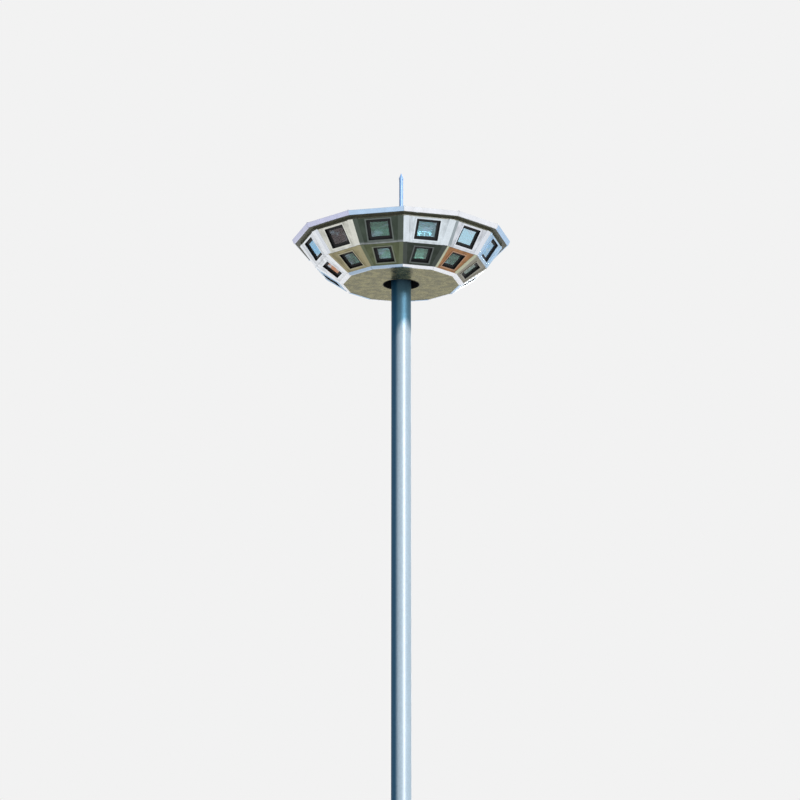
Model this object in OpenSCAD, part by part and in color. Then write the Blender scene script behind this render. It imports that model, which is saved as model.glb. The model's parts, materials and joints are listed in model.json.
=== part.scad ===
// High mast floodlight tower: a stepped tubular mast with a faceted lamp head that lowers down the shaft
// Millimetres, +Z up, origin in the middle of the base flange's underside, a dish corner towards -Y

/* [Mast] */
// Height of the dish's lower panel edge above ground, head raised
dish_z = 18900; // [12000:50:30000]
// Outside diameter of the upper tube
upper_d = 323.9; // [220:0.1:480]
// Outside diameter of the lower tube
lower_d = 406.4; // [280:0.1:520]
// Wall of both tubes
tube_t = 8; // [5:0.5:14]
// Share of the mast that the lower tube takes, swage included
lower_share = 0.525; // [0.4:0.005:0.53]
// Length of the swage in lower tube diameters
swage_share = 0.9; // [0.5:0.05:2]

/* [Base] */
// Thickness of the base flange
flange_t = 32; // [20:1:50]
// Anchor bolt circle in lower tube diameters
bolt_circle_share = 1.575; // [1.5:0.005:1.8]
// Anchor bolts
bolt_count = 12; // [8:2:16]
// Diameter of an anchor bolt hole
bolt_hole_d = 36; // [24:1:48]
// Flange edge beyond the bolt circle, in hole diameters
edge_share = 1.65; // [1.3:0.05:2.5]
// Height of a gusset
gusset_h = 260; // [150:5:400]
// Thickness of a gusset
gusset_t = 14; // [8:1:20]

/* [Service door] */
// Height of the door opening's lower edge
door_sill = 640; // [500:10:900]
// Height of the door opening
door_h = 900; // [500:10:1200]
// Width of the door opening as a share of the lower tube
door_share = 0.56; // [0.4:0.01:0.62]
// Width of the door frame round the opening
door_frame_w = 42; // [25:1:50]
// Thickness of the door frame
door_frame_t = 12; // [6:1:16]
// Thickness of the door
door_t = 5; // [3:0.5:8]

/* [Dish] */
// Radius over the corners of the rim
dish_r = 1800; // [1200:10:2600]
// Corner radius of the fascia's lower edge, of the rim
rim_low_share = 0.982; // [0.96:0.001:0.995]
// Corner radius at the top of the upper panels, of the rim
panel_top_share = 0.9256; // [0.9:0.001:0.945]
// Corner radius of the bend between the rows, of the rim
bend_share = 0.781; // [0.74:0.001:0.81]
// Corner radius at the foot of the lower panels, of the rim
bottom_share = 0.571; // [0.53:0.001:0.61]
// Corner radius at the foot of the bottom band, of the rim
band_share = 0.551; // [0.53:0.001:0.565]
// Height of the lower row of panels
lower_row_h = 255; // [200:1:340]
// Height of the upper row of panels
upper_row_h = 361; // [280:1:460]
// Height of the throat between the upper panels and the soffit
throat_h = 42; // [30:1:70]
// Height of the fascia
fascia_h = 68; // [40:1:90]
// Height of the bottom band
band_h = 32; // [26:1:60]
// Thickness of the dish's sheets
sheet_t = 3; // [2:0.5:4]
// Gap between sheets at a seam
seam = 3; // [2:0.5:5]
// Slope of the roof
roof_slope = 7; // [4:0.5:12]
// Leg of an upper corner strip, of the facet's width at the bend
upper_strip_share = 0.124; // [0.08:0.002:0.14]
// Leg of a lower corner strip, of the facet's width at the bend
lower_strip_share = 0.09; // [0.06:0.002:0.1]

/* [Mast way] */
// Radius of the hole that the mast goes through, of the lower tube's diameter
hole_share = 0.733; // [0.7:0.005:0.76]
// Wall of the centre sleeve
sleeve_t = 5; // [3:0.5:8]
// Width of the docking flange on the sleeve
dock_w = 44; // [30:1:60]
// Thickness of the docking flange
dock_t = 10; // [6:1:16]
// Height of the sleeve above the roof
upstand = 45; // [30:1:80]

/* [Floodlights] */
// Width of an upper window, of the facet's width at the bend
upper_window_share = 0.548; // [0.45:0.002:0.57]
// Height of an upper window, of the facet's slant height
upper_tall_share = 0.78; // [0.6:0.005:0.79]
// Width of a lower window, of the facet's width at the foot
lower_window_share = 0.562; // [0.45:0.002:0.58]
// Height of a lower window, of the facet's slant height
lower_tall_share = 0.7; // [0.5:0.005:0.72]
// Middle of an upper window, of the facet's slant height
upper_mid_share = 0.535; // [0.52:0.005:0.54]
// Middle of a lower window, of the facet's slant height
lower_mid_share = 0.49; // [0.47:0.005:0.52]
// Width of the stainless trim round a window
trim_w = 22; // [12:1:28]
// Thickness of the trim
trim_t = 6; // [3:0.5:10]
// Width of the black bezel's face
bezel_w = 48; // [25:1:55]
// Depth of the glass behind the panel
recess = 26; // [15:1:40]
// Depth of the lamp housing behind the glass
housing_d = 120; // [90:1:150]

/* [Head gear] */
// Radius of a rope pulley
pulley_r = 72; // [50:1:80]
// Width of a rope pulley
pulley_w = 44; // [30:1:60]
// Radius of the rain hood in sleeve radii
hood_share = 1.8; // [1.6:0.02:2]
// Slope of the rain hood
hood_slope = 28.5; // [26:0.5:32]
// Radius of the lightning rod
rod_r = 32; // [15:1:40]
// Height of the rod's tip above the rim, of the rim's radius
rod_share = 0.655; // [0.55:0.005:0.8]

/* [Hidden] */
$fn = 96;
sides = 12;
step = 360 / sides;
half = step / 2;
front = -90;
overrun = 20;
fit = 0.1;
run_gap = 0.3;
function apothem(r) = r * cos(half);
function chord(r) = 2 * r * sin(half);
function facet_turn(k) = front + half + k * step;
function corner_turn(k) = front + k * step;

// Mast levels
lower_top = dish_z * lower_share;
swage_h = lower_d * swage_share;
bolt_r = lower_d * bolt_circle_share / 2;
flange_r = bolt_r + bolt_hole_d * edge_share;
door_w = lower_d * door_share;
door_round_share = 0.25;
door_lap_share = 0.5;

// Dish rings, heights from the foot of the lower panels
rim_low_r = dish_r * rim_low_share;
panel_top_r = dish_r * panel_top_share;
bend_r = dish_r * bend_share;
bottom_r = dish_r * bottom_share;
band_r = dish_r * band_share;
panel_top_z = lower_row_h + upper_row_h;
soffit_z = panel_top_z + throat_h;
rim_z = soffit_z + fascia_h;
lip_share = 0.25;
leg_share = 0.8;
lip_w = fascia_h * lip_share;
upper_run = apothem(panel_top_r) - apothem(bend_r);
lower_run = apothem(bend_r) - apothem(bottom_r);
upper_slope = atan2(upper_row_h, upper_run);
lower_slope = atan2(lower_row_h, lower_run);
upper_slant = norm([upper_run, upper_row_h]);
lower_slant = norm([lower_run, lower_row_h]);
upper_strip_w = chord(bend_r) * upper_strip_share;
lower_strip_w = chord(bend_r) * lower_strip_share;

// Windows
upper_window = [chord(bend_r) * upper_window_share, upper_slant * upper_tall_share];
lower_window = [chord(bottom_r) * lower_window_share, lower_slant * lower_tall_share];
upper_mid = upper_slant * upper_mid_share;
lower_mid = lower_slant * lower_mid_share;
bezel_wall = 4;
bezel_flange = 12;
glass_t = 5;
glass_lap = 12;
wall_t = 2.5;
lamp_r_share = 0.28;
socket_r_share = 0.36;
socket_share = 0.2;
lamp_share = 0.74;

// Mast way and head gear, heights from the foot of the lower panels
hole_r = lower_d * hole_share;
sleeve_r = hole_r + seam;
plate_z = sheet_t - band_h + fit;
sleeve_foot = plate_z + sheet_t + fit;
dock_r = sleeve_r + sleeve_t + dock_w;
roof_in = sleeve_r + sleeve_t + fit;
ledge_r = roof_in + dock_w;
roof_rise = (apothem(dish_r) - ledge_r) * tan(roof_slope);
ledge_z = rim_z + roof_rise;
sleeve_top = ledge_z + upstand;
arm_z = sleeve_top + run_gap;
head_plate_t = 16;
head_plate_lap = 14;
head_plate_r = upper_d / 2 + head_plate_lap;
arm_count = 3;
cheek_t = 10;
axle_r = 15;
pulley_clear = 18;
pulley_at = sleeve_r + dock_w / 2 - pulley_r;
pulley_z = arm_z + pulley_r + pulley_clear;
groove_share = 0.25;
arm_tail_share = 0.4;
hood_r = sleeve_r * hood_share;
cap_r_share = 0.13;
cap_r = hood_r * cap_r_share;
skirt_gap = 40;
skirt_h = 72;
skirt_z = rim_z + (apothem(dish_r) - hood_r) * tan(roof_slope) + skirt_gap;
hood_z = skirt_z + skirt_h;
cap_z = hood_z + (apothem(hood_r) - apothem(cap_r)) * tan(hood_slope);
post_r_share = 0.8;
post_r = cap_r * post_r_share;
rod_tip_z = rim_z + dish_r * rod_share;
rod_point_share = 2.6;
rod_collar_share = 1.12;
rod_foot_share = 0.9;
rod_foot_t = 12;

// A straight tube between two heights
module tube(r, t, low, high) {
    translate([0, 0, low])
        difference() {
            cylinder(r = r, h = high - low);
            translate([0, 0, -overrun])
                cylinder(r = r - t, h = high - low + 2 * overrun);
        }
}

// Places children on an upper facet: x along the facet, y up the slope, z outwards
module on_upper(k) {
    rotate([0, 0, facet_turn(k)])
        translate([apothem(bend_r), 0, dish_z + lower_row_h])
            rotate([0, 0, 90])
                rotate([180 - upper_slope, 0, 0])
                    children();
}

// Places children on a lower facet in the same way
module on_lower(k) {
    rotate([0, 0, facet_turn(k)])
        translate([apothem(bottom_r), 0, dish_z])
            rotate([0, 0, 90])
                rotate([180 - lower_slope, 0, 0])
                    children();
}

// One side of the dish from a section drawn as distance from the axis against height, with mitred ends
module side_section(k, section) {
    rotate([0, 0, facet_turn(k)])
        translate([0, 0, dish_z])
            intersection() {
                rotate([90, 0, 0])
                    linear_extrude(height = chord(dish_r) + 2 * overrun, center = true)
                        polygon(section);
                translate([seam / 2 / sin(half), 0, -band_h - overrun])
                    linear_extrude(height = cap_z + band_h + 2 * overrun)
                        polygon([[0, 0], [dish_r, -dish_r * tan(half)], [dish_r, dish_r * tan(half)]]);
            }
}

// A flat bar frame, outer and inner sizes, between two depths on a facet
module bar_frame(outer, inner, mid, low, high) {
    translate([0, mid, low])
        linear_extrude(height = high - low)
            difference() {
                square(outer, center = true);
                square(inner, center = true);
            }
}

// A facet's sheet with its window cut through
module facet_sheet(low_w, high_w, slant, window, mid) {
    translate([0, 0, -sheet_t])
        linear_extrude(height = sheet_t)
            difference() {
                polygon([[seam - low_w / 2, seam / 2], [low_w / 2 - seam, seam / 2],
                    [high_w / 2 - seam, slant - seam / 2], [seam - high_w / 2, slant - seam / 2]]);
                translate([0, mid])
                    square(window, center = true);
            }
}

// A strip bent along a dish corner, from one ring to the next
module corner_strip(k, low_r, low_z, high_r, high_z, slope, leg) {
    bend = acos(pow(sin(slope), 2) * cos(step) + pow(cos(slope), 2)) / 2;
    rise = atan2(high_z - low_z, high_r - low_r);
    reach = leg * cos(bend);
    drop = leg * sin(bend);
    edge_x = sheet_t * sin(bend);
    edge_y = sheet_t * cos(bend) - drop;
    rotate([0, 0, corner_turn(k)])
        translate([low_r, 0, dish_z + low_z])
            rotate([0, 90 - rise, 0])
                rotate([0, 0, 90])
                    mirror([0, 1, 0])
                        translate([0, fit, seam])
                            linear_extrude(height = norm([high_r - low_r, high_z - low_z]) - 2 * seam)
                                polygon([[0, 0], [reach, -drop], [reach + edge_x, edge_y],
                                    [0, sheet_t / cos(bend)], [-reach - edge_x, edge_y], [-reach, -drop]]);
}

// Outline of the door opening, grown by a margin
module door_shape(grow) {
    round_r = door_w * door_round_share + grow;
    wide = door_w + 2 * grow;
    tall = door_h + 2 * grow;
    square([wide - 2 * round_r, tall], center = true);
    square([wide, tall - 2 * round_r], center = true);
    for (x = [-1, 1], y = [-1, 1])
        translate([x * (wide / 2 - round_r), y * (tall / 2 - round_r)])
            circle(r = round_r);
}

// The door outline as a block that runs out of the mast towards -Y
module door_block(grow) {
    translate([0, 0, door_sill + door_h / 2])
        rotate([90, 0, 0])
            linear_extrude(height = lower_d)
                door_shape(grow);
}

// Flange plate with the anchor bolt holes
module base_flange() {
    color("darkgray")
        difference() {
            cylinder(r = flange_r, h = flange_t);
            for (i = [0 : bolt_count - 1])
                rotate([0, 0, i * 360 / bolt_count])
                    translate([bolt_r, 0, -overrun])
                        cylinder(d = bolt_hole_d, h = flange_t + 2 * overrun);
        }
}

// Triangular ribs between the anchor bolts
module base_gussets() {
    toe_share = 0.15;
    wide = flange_r - bolt_hole_d / 2 - lower_d / 2;
    color("darkgray")
        for (i = [0 : bolt_count - 1])
            rotate([0, 0, (i + 1 / 2) * 360 / bolt_count])
                difference() {
                    translate([0, gusset_t / 2, flange_t])
                        rotate([90, 0, 0])
                            linear_extrude(height = gusset_t)
                                polygon([[lower_d / 2 - tube_t, 0], [lower_d / 2 + wide, 0],
                                    [lower_d / 2 + wide, gusset_h * toe_share],
                                    [lower_d / 2 + wide * toe_share, gusset_h],
                                    [lower_d / 2 - tube_t, gusset_h]]);
                    cylinder(d = lower_d, h = flange_t + gusset_h + overrun);
                }
}

// Lower tube with its top swaged down to the upper tube and the door opening cut through
module lower_section() {
    color("lightsteelblue")
        difference() {
            rotate_extrude()
                polygon([[lower_d / 2 - tube_t, flange_t], [lower_d / 2, flange_t],
                    [lower_d / 2, lower_top - swage_h], [upper_d / 2, lower_top],
                    [upper_d / 2 - tube_t, lower_top], [lower_d / 2 - tube_t, lower_top - swage_h]]);
            door_block(0);
        }
}

// Straight upper tube
module upper_section() {
    color("lightsteelblue")
        tube(upper_d / 2, tube_t, lower_top + fit, dish_z + arm_z - head_plate_t - fit);
}

// Reinforcing frame round the door opening
module door_frame() {
    color("lightsteelblue")
        intersection() {
            tube(lower_d / 2 + door_frame_t, door_frame_t, flange_t, lower_top - swage_h);
            difference() {
                door_block(door_frame_w);
                door_block(0);
            }
        }
}

// Curved door lapped onto its frame
module service_door() {
    color("slategray")
        intersection() {
            tube(lower_d / 2 + door_frame_t + door_t, door_t, flange_t, lower_top - swage_h);
            door_block(door_frame_w * door_lap_share);
        }
}

// Head plate, post and three pairs of cheeks that carry the pulleys
module head_frame() {
    color("darkgray")
        translate([0, 0, dish_z]) {
            translate([0, 0, arm_z - head_plate_t])
                cylinder(r = head_plate_r, h = head_plate_t);
            translate([0, 0, arm_z])
                cylinder(r = post_r, h = cap_z - sheet_t - arm_z);
            for (i = [0 : arm_count - 1], side = [-1, 1])
                rotate([0, 0, front + i * 360 / arm_count])
                    translate([0, side * (pulley_w / 2 + cheek_t) + (1 - side) * cheek_t / 2, 0])
                        arm_cheek();
        }
}

// One cheek plate of a pulley arm
module arm_cheek() {
    tail = post_r * arm_tail_share;
    tall = pulley_z - arm_z + axle_r * 2;
    difference() {
        translate([0, 0, arm_z])
            rotate([90, 0, 0])
                linear_extrude(height = cheek_t)
                    polygon([[tail, 0], [dock_r, 0], [dock_r, pulley_clear * 2],
                        [pulley_at + axle_r * 2, tall], [tail, tall]]);
        translate([pulley_at, overrun, pulley_z])
            rotate([90, 0, 0])
                cylinder(r = axle_r + fit, h = cheek_t + 2 * overrun);
    }
}

// Grooved rope pulleys with their axles
module pulleys() {
    groove = pulley_w * groove_share;
    cheek = pulley_w / 2 + cheek_t;
    face = pulley_w / 2 - fit;
    color("dimgray")
        for (i = [0 : arm_count - 1])
            rotate([0, 0, front + i * 360 / arm_count])
                translate([pulley_at, 0, dish_z + pulley_z])
                    rotate([90, 0, 0])
                        rotate_extrude()
                            polygon([[0, -cheek], [axle_r, -cheek], [axle_r, -face], [pulley_r, -face],
                                [pulley_r - groove, 0], [pulley_r, face], [axle_r, face], [axle_r, cheek],
                                [0, cheek]]);
}

// Twelve-sided rain hood of folded gores, each with a tongue under the rod's foot and a skirt
module rain_hood() {
    thick = sheet_t / cos(hood_slope);
    tongue = apothem(rod_r);
    cap = apothem(cap_r);
    edge = apothem(hood_r);
    color("lightsteelblue")
        for (k = [0 : sides - 1])
            side_section(k, [[tongue, cap_z - sheet_t], [tongue, cap_z], [cap, cap_z], [edge, hood_z],
                [edge, skirt_z], [edge - sheet_t, skirt_z], [edge - sheet_t, hood_z - thick],
                [cap, cap_z - sheet_t]]);
}

// Lightning rod with a foot flange, a collar and a point
module lightning_rod() {
    point = rod_r * rod_point_share;
    collar = rod_r * rod_collar_share;
    foot = cap_r * rod_foot_share;
    color("lightsteelblue")
        translate([0, 0, dish_z])
            rotate_extrude()
                polygon([[0, cap_z], [foot, cap_z], [foot, cap_z + rod_foot_t], [rod_r, cap_z + rod_foot_t],
                    [rod_r, rod_tip_z - point - collar], [collar, rod_tip_z - point - collar],
                    [collar, rod_tip_z - point], [rod_r, rod_tip_z - point], [0, rod_tip_z]]);
}

// Upper facet sheet
module upper_panel(k) {
    color("silver")
        on_upper(k)
            facet_sheet(chord(bend_r), chord(panel_top_r), upper_slant, upper_window, upper_mid);
}

// Lower facet sheet
module lower_panel(k) {
    color("silver")
        on_lower(k)
            facet_sheet(chord(bottom_r), chord(bend_r), lower_slant, lower_window, lower_mid);
}

// Bent strips that cover the seams between facets
module corner_strips() {
    color("gainsboro")
        for (k = [0 : sides - 1]) {
            corner_strip(k, bend_r, lower_row_h, panel_top_r, panel_top_z, upper_slope, upper_strip_w);
            corner_strip(k, bottom_r, 0, bend_r, lower_row_h, lower_slope, lower_strip_w);
        }
}

// Leaning fascia with a lip at its foot and a lip under the roof
module eave_fascia() {
    low = apothem(rim_low_r);
    high = apothem(dish_r);
    thick = sheet_t / sin(atan2(fascia_h, high - low));
    back = high - 2 * lip_w;
    color("white")
        for (k = [0 : sides - 1])
            side_section(k, [[low, soffit_z], [high, rim_z], [back, rim_z], [back, rim_z - sheet_t],
                [high - thick, rim_z - sheet_t], [low, soffit_z + sheet_t],
                [low - lip_w, soffit_z + sheet_t], [low - lip_w, soffit_z]]);
}

// Soffit with a web that closes the throat above the upper panels and a leg behind their top edge
module eave_soffit() {
    web = apothem(panel_top_r) - sheet_t * sin(upper_slope) - seam / 2 * cos(upper_slope) - fit;
    web_z = panel_top_z + sheet_t * cos(upper_slope) - seam / 2 * sin(upper_slope);
    low = apothem(rim_low_r) - sheet_t;
    leg = (upper_slant - upper_mid - upper_window[1] / 2 - bezel_flange) * leg_share;
    foot = web - leg * cos(upper_slope);
    foot_z = web_z - leg * sin(upper_slope);
    color("dimgray")
        for (k = [0 : sides - 1])
            side_section(k, [[web, web_z], [web, soffit_z + sheet_t], [low, soffit_z + sheet_t],
                [low, soffit_z + 2 * sheet_t], [web - sheet_t, soffit_z + 2 * sheet_t],
                [web - sheet_t, web_z], [foot - sheet_t, foot_z], [foot, foot_z]]);
}

// Roof sheets from the eave up to the centre sleeve
module roof_sheets() {
    high = apothem(dish_r) - sheet_t;
    inner_z = rim_z + (apothem(dish_r) - roof_in) * tan(roof_slope);
    outer_z = rim_z + sheet_t * tan(roof_slope);
    color("silver")
        for (k = [0 : sides - 1])
            side_section(k, [[roof_in, inner_z], [high, outer_z], [high, outer_z + sheet_t],
                [roof_in, inner_z + sheet_t]]);
}

// Leaning band at the dish's foot, with a lip that carries the bottom plate
module bottom_band() {
    high = apothem(bottom_r);
    low = apothem(band_r);
    thick = sheet_t / sin(atan2(band_h, high - low));
    top = seam / 2 * sin(lower_slope) - fit;
    lip = low - thick - 2 * lip_w;
    color("white")
        for (k = [0 : sides - 1])
            side_section(k, [[low, -band_h], [high, top], [high - thick, top],
                [low - thick, sheet_t - band_h], [lip, sheet_t - band_h], [lip, -band_h]]);
}

// Flat bottom plate with the hole that the mast goes through
module bottom_plate() {
    plate_r = (apothem(band_r) - 2 * sheet_t) / cos(half);
    color("tan")
        translate([0, 0, dish_z + plate_z])
            difference() {
                rotate([0, 0, front])
                    cylinder(r = plate_r, h = sheet_t, $fn = sides);
                translate([0, 0, -overrun])
                    cylinder(r = hole_r, h = sheet_t + 2 * overrun);
            }
}

// Sleeve round the mast way, with a ledge under the roof and the docking flange
module centre_sleeve() {
    outer = sleeve_r + sleeve_t;
    color("darkgray")
        translate([0, 0, dish_z])
            rotate_extrude()
                polygon([[sleeve_r, sleeve_foot], [outer, sleeve_foot], [outer, ledge_z - dock_t],
                    [ledge_r, ledge_z - dock_t], [ledge_r, ledge_z], [outer, ledge_z],
                    [outer, sleeve_top - dock_t], [dock_r, sleeve_top - dock_t], [dock_r, sleeve_top],
                    [sleeve_r, sleeve_top]]);
}

// Stainless trims round the windows
module window_trims() {
    grow = [2 * trim_w, 2 * trim_w];
    color("gainsboro")
        for (k = [0 : sides - 1]) {
            on_upper(k)
                bar_frame(upper_window + grow, upper_window, upper_mid, fit, trim_t);
            on_lower(k)
                bar_frame(lower_window + grow, lower_window, lower_mid, fit, trim_t);
        }
}

// One black bezel: a flange behind the panel, walls through the window and a recessed face
module bezel(window, mid) {
    outer = window - [2 * fit, 2 * fit];
    inner = outer - [2 * bezel_wall, 2 * bezel_wall];
    flange = window + [2 * bezel_flange, 2 * bezel_flange];
    face = window - [2 * bezel_w, 2 * bezel_w];
    bar_frame(flange, inner, mid, -sheet_t - bezel_wall, -sheet_t);
    bar_frame(outer, inner, mid, -recess - bezel_wall, 0);
    bar_frame(outer, face, mid, -recess - bezel_wall, -recess);
}

// Black lamp bezels
module lamp_bezels() {
    color("black")
        for (k = [0 : sides - 1]) {
            on_upper(k)
                bezel(upper_window, upper_mid);
            on_lower(k)
                bezel(lower_window, lower_mid);
        }
}

// One pane behind its bezel
module pane(window, mid) {
    size = window - [2 * bezel_w, 2 * bezel_w] + [2 * glass_lap, 2 * glass_lap];
    translate([0, mid, -recess - bezel_wall - glass_t])
        linear_extrude(height = glass_t)
            square(size, center = true);
}

// Front glasses
module lamp_glass() {
    color("lightblue")
        for (k = [0 : sides - 1]) {
            on_upper(k)
                pane(upper_window, upper_mid);
            on_lower(k)
                pane(lower_window, lower_mid);
        }
}

// One open housing behind its bezel
module housing(window, mid) {
    outer = window - [2 * fit, 2 * fit];
    inner = outer - [2 * wall_t, 2 * wall_t];
    front_z = -recess - bezel_wall;
    bar_frame(outer, inner, mid, front_z - housing_d, front_z);
    translate([0, mid, front_z - housing_d - wall_t])
        linear_extrude(height = wall_t)
            square(outer, center = true);
}

// Lamp housings
module lamp_housings() {
    color("whitesmoke")
        for (k = [0 : sides - 1]) {
            on_upper(k)
                housing(upper_window, upper_mid);
            on_lower(k)
                housing(lower_window, lower_mid);
        }
}

// One lamp with its socket on the housing's side wall
module lamp(window, mid) {
    inside = window[0] - 2 * fit - 2 * wall_t;
    lamp_r = housing_d * lamp_r_share / 2;
    socket_r = housing_d * socket_r_share / 2;
    translate([-inside / 2, mid, -recess - bezel_wall - housing_d / 2])
        rotate([0, 90, 0]) {
            cylinder(r = socket_r, h = inside * socket_share);
            cylinder(r = lamp_r, h = inside * lamp_share);
            translate([0, 0, inside * lamp_share])
                sphere(r = lamp_r);
        }
}

// Tubular lamps
module lamp_tubes() {
    color("ivory")
        for (k = [0 : sides - 1]) {
            on_upper(k)
                lamp(upper_window, upper_mid);
            on_lower(k)
                lamp(lower_window, lower_mid);
        }
}

base_flange();
base_gussets();
lower_section();
upper_section();
door_frame();
service_door();
head_frame();
pulleys();
rain_hood();
lightning_rod();
upper_panel(0);  // upper_panel_01
upper_panel(1);  // upper_panel_02
upper_panel(2);  // upper_panel_03
upper_panel(3);  // upper_panel_04
upper_panel(4);  // upper_panel_05
upper_panel(5);  // upper_panel_06
upper_panel(6);  // upper_panel_07
upper_panel(7);  // upper_panel_08
upper_panel(8);  // upper_panel_09
upper_panel(9);  // upper_panel_10
upper_panel(10);  // upper_panel_11
upper_panel(11);  // upper_panel_12
lower_panel(0);  // lower_panel_01
lower_panel(1);  // lower_panel_02
lower_panel(2);  // lower_panel_03
lower_panel(3);  // lower_panel_04
lower_panel(4);  // lower_panel_05
lower_panel(5);  // lower_panel_06
lower_panel(6);  // lower_panel_07
lower_panel(7);  // lower_panel_08
lower_panel(8);  // lower_panel_09
lower_panel(9);  // lower_panel_10
lower_panel(10);  // lower_panel_11
lower_panel(11);  // lower_panel_12
corner_strips();
eave_fascia();
eave_soffit();
roof_sheets();
bottom_band();
bottom_plate();
centre_sleeve();
window_trims();
lamp_bezels();
lamp_glass();
lamp_housings();
lamp_tubes();
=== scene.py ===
import json
import math
from collections import namedtuple

import bpy
import numpy as np
from mathutils import Matrix, Vector


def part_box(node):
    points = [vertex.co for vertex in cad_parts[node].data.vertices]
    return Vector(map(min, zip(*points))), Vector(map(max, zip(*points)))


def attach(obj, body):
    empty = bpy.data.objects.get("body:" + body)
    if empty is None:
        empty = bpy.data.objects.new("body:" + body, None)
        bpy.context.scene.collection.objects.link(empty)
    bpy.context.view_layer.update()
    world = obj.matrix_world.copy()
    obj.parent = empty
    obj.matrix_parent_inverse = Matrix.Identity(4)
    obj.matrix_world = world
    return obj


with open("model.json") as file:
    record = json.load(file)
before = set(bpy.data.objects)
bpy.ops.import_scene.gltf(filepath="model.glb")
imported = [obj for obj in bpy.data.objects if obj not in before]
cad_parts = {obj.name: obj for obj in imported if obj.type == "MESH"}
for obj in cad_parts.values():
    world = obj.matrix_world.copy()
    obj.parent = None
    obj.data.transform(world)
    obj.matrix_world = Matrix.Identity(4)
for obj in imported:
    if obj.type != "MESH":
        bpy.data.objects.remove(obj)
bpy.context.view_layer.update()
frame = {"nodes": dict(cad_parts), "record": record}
cad = frame["nodes"]
scene = bpy.context.scene


# Base flange and gussets: a thick steel ring with twelve ribs, cut from plate and welded to the foot
# of the mast, then hot-dip galvanised with it. The zinc sets in small crystals with faint runs.
def linear(code):
    """An sRGB hex colour as linear red, green, blue and alpha."""
    parts = [int(code[i:i + 2], 16) / 255 for i in (1, 3, 5)]
    return tuple(p / 12.92 if p <= 0.04045 else ((p + 0.055) / 1.055) ** 2.4 for p in parts) + (1.0,)


def feed(tree, node, inputs):
    """Sets each input to a value, or links it to a socket or to each socket of a list."""
    for socket, source in inputs.items():
        for one in source if isinstance(source, list) else [source]:
            if isinstance(one, bpy.types.NodeSocket):
                tree.links.new(one, node.inputs[socket])
            else:
                node.inputs[socket].default_value = one


def add(tree, kind, inputs=None, **settings):
    """Adds a node with its settings and its inputs, each by name or by number.

    Map Range takes a value on 0, its range on 1 and 2 and the new range on 3 and 4. Mix takes its share on 0
    and two numbers on 2 and 3, or two colours on 6 and 7, and gives the colour on output 2."""
    made = tree.nodes.new(kind)
    for name, value in settings.items():
        setattr(made, name, value)
    feed(tree, made, inputs or {})
    return made


def surface(name, **constants):
    """A new material, its tree, its shader with the constant sockets set, and its Object coordinates."""
    made = bpy.data.materials.new(name)
    made.use_nodes = True
    shader = made.node_tree.nodes["Principled BSDF"]
    for socket, value in constants.items():
        shader.inputs[socket.replace("_", " ")].default_value = value
    place = add(made.node_tree, "ShaderNodeTexCoord").outputs["Object"]
    return made, made.node_tree, shader, place


def grain(millimetres):
    """The scale of a pattern whose grain has that size."""
    return 1000 / millimetres


def clouded(tree, place, first, second, size_mm, detail):
    """A cloudy pattern of that size, and two sRGB colours blended by it."""
    spread = {"Vector": place, "Scale": grain(size_mm), "Detail": detail}
    cloud = add(tree, "ShaderNodeTexNoise", spread).outputs[0]
    blended = {0: cloud, 6: linear(first), 7: linear(second)}
    return cloud, add(tree, "ShaderNodeMix", blended, data_type="RGBA").outputs[2]


def bumpy(tree, place, size_mm, detail, strength, depth_mm):
    """Bumps of that size and depth in a skin."""
    spread = {"Vector": place, "Scale": grain(size_mm), "Detail": detail}
    height = add(tree, "ShaderNodeTexNoise", spread).outputs[0]
    pressed = {"Height": height, "Strength": strength, "Distance": depth_mm / 1000}
    return add(tree, "ShaderNodeBump", pressed).outputs[0]


def galvanised(name, bright, dull, crystal_mm, gloss=0.33, shade_painter=None):
    """Hot-dip galvanised steel: zinc crystals a shade apart, long faint runs and a soft broad sheen."""
    made, tree, shader, place = surface(name, Specular_IOR_Level=1.0)
    drawn = add(tree, "ShaderNodeMapping", {"Vector": place, "Scale": (1, 1, 0.04)}).outputs[0]
    tone = clouded(tree, drawn, bright, dull, size_mm=60, detail=3.0)[1]
    cells = add(tree, "ShaderNodeTexVoronoi", {"Vector": place, "Scale": grain(crystal_mm)})
    fleck = add(tree, "ShaderNodeRGBToBW", {0: cells.outputs["Color"]}).outputs[0]
    rough = add(tree, "ShaderNodeMapRange", {0: fleck, 3: gloss, 4: gloss + 0.1}).outputs[0]
    # Where given, painted shade and the dish's painted shadow darken the tone and roughen it
    if shade_painter:
        tone, rough, gleam = shade_painter(tree, place, tone, rough)
        feed(tree, shader, {"Metallic": gleam})
    shade = add(tree, "ShaderNodeMapRange", {0: fleck, 3: 0.9, 4: 1.08}).outputs[0]
    base = add(tree, "ShaderNodeMix", {0: 1.0, 6: tone, 7: shade}, data_type="RGBA", blend_type="MULTIPLY")
    bump = bumpy(tree, place, size_mm=4, detail=2.0, strength=0.15, depth_mm=0.6)
    feed(tree, shader, {"Base Color": base.outputs[2], "Roughness": rough, "Normal": bump})
    return made


def dress(material, *names):
    """Gives CAD nodes a finish."""
    for name in names:
        cad[name].material_slots[0].material = material


plate_zinc = galvanised("galvanised_plate", "#a8bccd", "#91a5b7", crystal_mm=14)
dress(plate_zinc, "base_flange", "base_gussets")


# Anchor fixings: M33 studs cast into the foundation, each with a washer, a nut and a thin lock nut.
# They are forged and rolled, bright zinc, and stand on the flange between the ribs.
def new_tree(name, **inputs):
    """An empty geometry tree with a guide and named inputs, and the sockets that these arrive on."""
    tree = bpy.data.node_groups.new(name, "GeometryNodeTree")
    tree.interface.new_socket("Guide", in_out="INPUT", socket_type="NodeSocketGeometry")
    for label, kind in inputs.items():
        tree.interface.new_socket(label, in_out="INPUT", socket_type="NodeSocket" + kind)
    tree.interface.new_socket("Piece", in_out="OUTPUT", socket_type="NodeSocketGeometry")
    return tree, add(tree, "NodeGroupInput").outputs


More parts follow.
